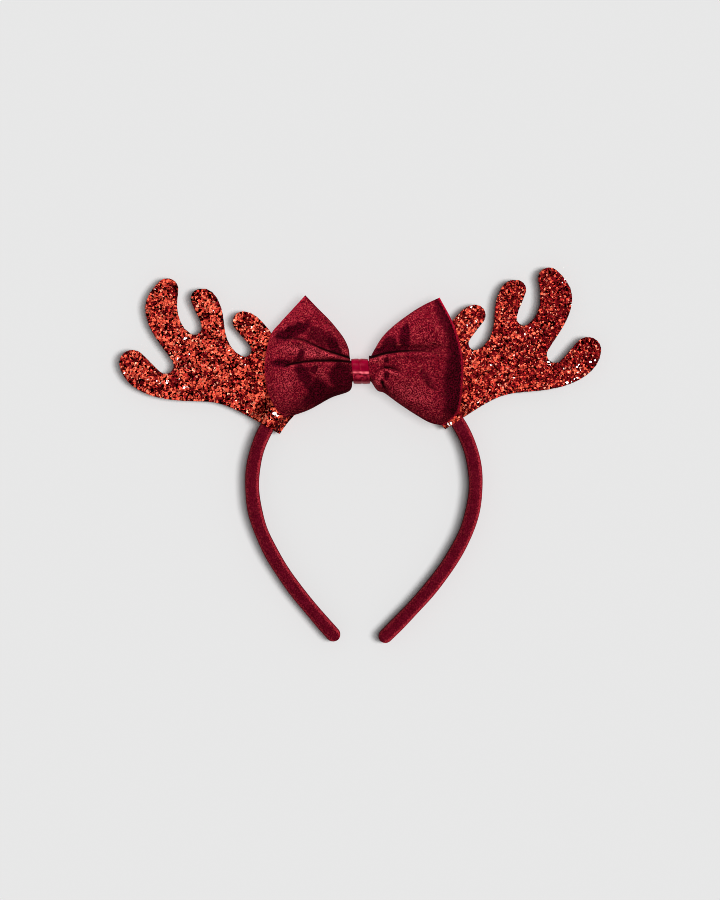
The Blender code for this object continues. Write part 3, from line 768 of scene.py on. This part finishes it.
def make_knot(material):
    """The satin ribbon: a ring with a soft crease down its face, and a ridge and folds across it."""
    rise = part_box("knot")[1].z / 2
    strips = np.linspace(-math.pi / 2, math.pi / 2, KNOT_STRIPS)
    across = np.sin(strips)
    crease = 1 - FACE_CREASE * hill(across, 0, FACE_CREASE_WIDE)
    wall = np.cos(strips) ** FACE_ROUND * crease * (1 - FACE_THIN) + FACE_THIN
    wall[0] = wall[-1] = FACE_HEM
    share, side = np.append(wall, 0.0), np.append(across, 0.0)
    step = FACE_STEP * np.tanh(side / FACE_STEP_WIDE)
    line = FACE_LINE * hill(side, 0, FACE_LINE_WIDE)
    dimmer = 1 - GLOSS_DIM * (1 - np.cos(GLOSS_TURNS * side))
    rings, gloss, shade = [], [], []
    _, y_unit, z_unit = rounded_square(KNOT_TURNS, KNOT_SQUARENESS)
    for y_out, z_out in zip(y_unit, z_unit):
        face = z_out > 0
        outer = np.array([y_out * KNOT_DEEP / 2, z_out * rise])
        inner = np.array([y_out * (KNOT_DEEP / 2 - KNOT_WALL), z_out * (rise - KNOT_WALL)])
        ridge, fold, dark = [
            hill(outer[0] + step, place * MM, wide * MM) * face
            for place, wide in (KNOT_RIDGE, KNOT_FOLD, KNOT_SHADE_BAND)
        ]
        grow = share + np.where(share > 0.5, RIDGE_HIGH * ridge - FOLD_DEEP * fold, 0.0)
        y, z = (inner + (outer - inner) * grow[:, None]).T
        rings.append(np.column_stack([side * KNOT_WIDE / 2 - KNOT_SLANT * y, y, z + rise]))
        # Painted highlights on the ridge and near the lower end
        hem = HEM_GLOSS * hill(outer[0] + KNOT_DEEP / 2, HEM_IN, HEM_WIDE) * face
        gloss.append(np.maximum(ridge * dimmer, hem))
        # Painted shade at the ends, below the fold and in the crease
        end = END_SHADE * hill(abs(outer[0]), KNOT_DEEP / 2, END_WIDE) * (1 - gloss[-1])
        shade.append(np.maximum.reduce([dark, end, line * face]))
    rings = np.array(rings)
    faces = grid_faces(len(rings), rings.shape[1], ends_meet=True)
    points = turned(rings, knot_centre()).reshape(-1, 3)
    piece = make_piece("knot_ribbon", points, faces, material, "knot")
    mark_points(piece, "gloss", gloss)
    mark_points(piece, "shade", shade)
    return piece


def scatter(node, count, made):
    """Places spread evenly over a node's faces, with the way that each faces."""
    mesh = bpy.data.objects[node].data
    mesh.calc_loop_triangles()
    corners = np.empty(len(mesh.vertices) * 3, np.float32)
    mesh.vertices.foreach_get("co", corners)
    triangles = np.empty(len(mesh.loop_triangles) * 3, np.int32)
    mesh.loop_triangles.foreach_get("vertices", triangles)
    a, b, c = corners.reshape(-1, 3).astype(float)[triangles.reshape(-1, 3)].transpose(1, 0, 2)
    normal = np.cross(b - a, c - a)
    area = np.linalg.norm(normal, axis=1)
    total = np.cumsum(area)
    chosen = np.searchsorted(total, (np.arange(count) + made.random(count)) / count * total[-1])
    chosen = np.clip(chosen, 0, len(area) - 1)
    s, t = np.sqrt(made.random((count, 1))), made.random((count, 1))
    places = a[chosen] * (1 - s) + b[chosen] * s * (1 - t) + c[chosen] * s * t
    return places, normal[chosen] / area[chosen, None], total[-1] / 2


def tree_of(node):
    mesh = bpy.data.objects[node].data
    return BVHTree.FromPolygons([v.co for v in mesh.vertices], [tuple(p.vertices) for p in mesh.polygons])


def make_glitter(node, material, seed, flake, dark, less_black):
    """Foil flakes over all of an antler, each a tilted hexagon that is cut off at the sheet's edge.

    Dark is painted shade, how much darker it is at its root and at its tips. Less black is the share
    of the black flakes that are wine instead.
    """
    made = np.random.default_rng(seed)
    flake_area = HEXAGON * (flake / 2 * FLAKE_MEAN) ** 2 * FLAKE_WIDTH_MEAN
    count = int(FLAKE_COVER * scatter(node, 1, made)[2] / flake_area)
    places, facing, _ = scatter(node, count, made)
    band = tree_of("band")
    clear = [band.find_nearest(place, BAND_CLEAR)[0] is None for place in places]
    places, facing = places[clear], facing[clear]
    count = len(places)
    tilt = facing + made.normal(0, FLAKE_TILT, (count, 3))
    tilt /= np.linalg.norm(tilt, axis=1)[:, None]
    side = np.cross(tilt, made.normal(0, 1, (count, 3)))
    side /= np.linalg.norm(side, axis=1)[:, None]
    other = np.cross(tilt, side)
    size = flake / 2 * made.uniform(*FLAKE_SIZES, (count, 1, 1))
    corner = (np.arange(6) * math.pi / 3)[None, :, None]
    narrow = made.uniform(*FLAKE_WIDTHS, (count, 1, 1))
    rim = side[:, None] * np.cos(corner) + other[:, None] * np.sin(corner) * narrow
    centre = places + facing * made.uniform(*FLAKE_LIFT, (count, 1)) * MM
    points = (centre[:, None] + rim * size).reshape(-1, 3)
    solid = tree_of(node)
    near = np.array([solid.find_nearest(point)[0] for point in points])
    away = points - near
    far = np.linalg.norm(away, axis=1)[:, None]
    points = near + away * np.minimum(1, FLAKE_RISE / np.maximum(far, TINY))
    points[:, 2] = np.maximum(points[:, 2], cad_low.z + FLOOR_CLEAR)
    faces = np.arange(count * 6).reshape(-1, 6).tolist()
    piece = make_piece(node + "_glitter", points, faces, material)
    piece.data.shade_flat()

    x, y = places[:, 0], places[:, 1]
    _, tones, bright_odds, dark_odds = (np.array(column) for column in zip(*FOIL))
    uneven = sum(wavy(x, y, patch, seed + shift) for patch, shift in FOIL_UNEVEN)
    # Painted shade towards the root and the tips, over random dark patches
    shade = smooth(FOIL_DARK + np.interp(np.abs(x), FOIL_WAY, dark) + FOIL_CONTRAST * uneven)[:, None]
    odds = bright_odds * (1 - shade) + dark_odds * shade
    odds[:, WINE] += less_black * odds[:, BLACK]
    odds[:, BLACK] *= 1 - less_black
    # Painted glints: more white flakes at the sparks
    for _, spot_x, spot_y, reach, share in SPARKS:
        odds[:, WHITE] += share * soft_spot(x, y, spot_x, spot_y, reach, reach, 0)
    chosen = (np.cumsum(odds, axis=1) < made.random((count, 1)) * odds.sum(axis=1)[:, None]).sum(axis=1)
    colour = np.ones((count, 6, 4), np.float32)
    colour[..., :3] = tones[chosen][:, None] * made.uniform(*FOIL_SHADES, (count, 1, 1))
    foil = piece.data.attributes.new("foil", "FLOAT_COLOR", "POINT")
    foil.data.foreach_set("color", colour.reshape(-1))
    return piece


def make_floor():
    reach = FLOOR_REACH
    mesh = bpy.data.meshes.new("floor")
    corners = [(-reach, -reach, 0), (reach, -reach, 0), (reach, reach, 0), (-reach, reach, 0)]
    mesh.from_pydata(corners, [], [(0, 1, 2, 3)])
    mesh.materials.append(paper())
    floor = bpy.data.objects.new("floor", mesh)
    floor.location.z = cad_low.z - FLOOR_GAP
    bpy.context.scene.collection.objects.link(floor)
    return floor


def make_sun(name, strength, spread, azimuth, elevation, lit, shaded_by=None):
    """Even light from a side, softened by its spread, with the objects it falls on and those that shade it."""
    lamp = bpy.data.lights.new(name, "SUN")
    lamp.energy = strength
    lamp.angle = math.radians(spread)
    sun = bpy.data.objects.new(name, lamp)
    azimuth, elevation = math.radians(azimuth), math.radians(elevation)
    level = math.cos(elevation)
    towards = Vector((math.cos(azimuth) * level, math.sin(azimuth) * level, math.sin(elevation)))
    sun.rotation_mode = "QUATERNION"
    sun.rotation_quaternion = towards.to_track_quat("Z", "Y")
    bpy.context.scene.collection.objects.link(sun)
    sun.light_linking.receiver_collection = group_of(name + "_falls_on", lit)
    if shaded_by:
        sun.light_linking.blocker_collection = group_of(name + "_shaded_by", shaded_by)


def group_of(name, objects):
    group = bpy.data.collections.new(name)
    for thing in objects:
        group.objects.link(thing)
    return group


def make_world(strength):
    world = bpy.data.worlds.new("studio")
    world.use_nodes = True
    world.node_tree.nodes["Background"].inputs["Color"].default_value = (1, 1, 1, 1)
    world.node_tree.nodes["Background"].inputs["Strength"].default_value = strength
    bpy.context.scene.world = world


def make_camera():
    """Straight down, turned and framed as in the photograph."""
    camera = bpy.data.cameras.new("camera")
    camera.sensor_width = SENSOR
    camera.lens = SENSOR * (CAMERA_HEIGHT - PIXEL_LEVEL) / (PHOTO_HIGH * PIXEL)
    viewer = bpy.data.objects.new("camera", camera)
    viewer.location = (*VIEW_CENTRE, CAMERA_HEIGHT)
    viewer.rotation_euler.z = PHOTO_TURN
    bpy.context.scene.collection.objects.link(viewer)
    bpy.context.scene.camera = viewer


def dress_antlers():
    """The antlers keep their solids, in the glue's finish, under their flakes."""
    sheet, foil = glitter_sheet(), glitter_flakes()
    made = []
    for node, looks in ANTLERS.items():
        solid = bpy.data.objects[node]
        solid.data.materials.clear()
        solid.data.materials.append(sheet)
        made += [solid, make_glitter(node, foil, **looks)]
    return made


make_camera()
band_pile = velvet(
    "band_pile",
    flat=((0.064, 0.0003, 0.005), (0.115, 0.002, 0.011)),
    raised=((0.086, 0.0008, 0.007), (0.150, 0.004, 0.016)),
    sheen=0.15,
    speck=0.06,
    marks=(
        # painted sheen on its shoulders
        ("painted_shoulder_sheen", (0.22, 0.006, 0.016), (0.46, 0.030, 0.045)),
        # painted shade on its inner side
        ("inside", (0.006, 0.0, 0.0), (0.02, 0.0, 0.001)),
    ),
)
bow_pile = velvet(
    "bow_pile",
    flat=((0.058, 0.0003, 0.005), (0.225, 0.004, 0.015)),
    raised=((0.105, 0.0008, 0.008), (0.37, 0.018, 0.034)),
    sheen=0.06,
    speck=0.38,
    marks=(
        # painted highlights
        ("gleam", (0.14, 0.001, 0.010), (0.85, 0.085, 0.11)),
        # flat nap and painted shade
        ("nap_and_shade", (0.012, 0.0, 0.001), (0.095, 0.001, 0.009)),
        # painted sheen along the rims
        ("rim", (0.42, 0.002, 0.022), (0.70, 0.010, 0.045)),
        # painted shade in the creases
        ("black", (0.003, 0.0, 0.0), (0.008, 0.0, 0.001)),
    ),
)
band, bow, knot = make_band(band_pile), make_bow(bow_pile), make_knot(satin())
antlers = dress_antlers()
plain = [make_floor(), band, *antlers]
make_world(strength=0.16)
# The window casts the long shadows, the ceiling the short ones, and the lamp only shapes the bow
make_sun("window", 1.77, spread=18, azimuth=-1, elevation=64, lit=plain, shaded_by=[band, *antlers])
make_sun("ceiling", 1.08, spread=22, azimuth=-1, elevation=79, lit=plain, shaded_by=[band, *antlers, bow, knot])
make_sun("lamp", 3.6, spread=25, azimuth=108, elevation=50, lit=[bow, knot])
bpy.context.scene.view_settings.view_transform = "Standard"
bpy.context.scene.cycles.filter_width = PIXEL_FILTER
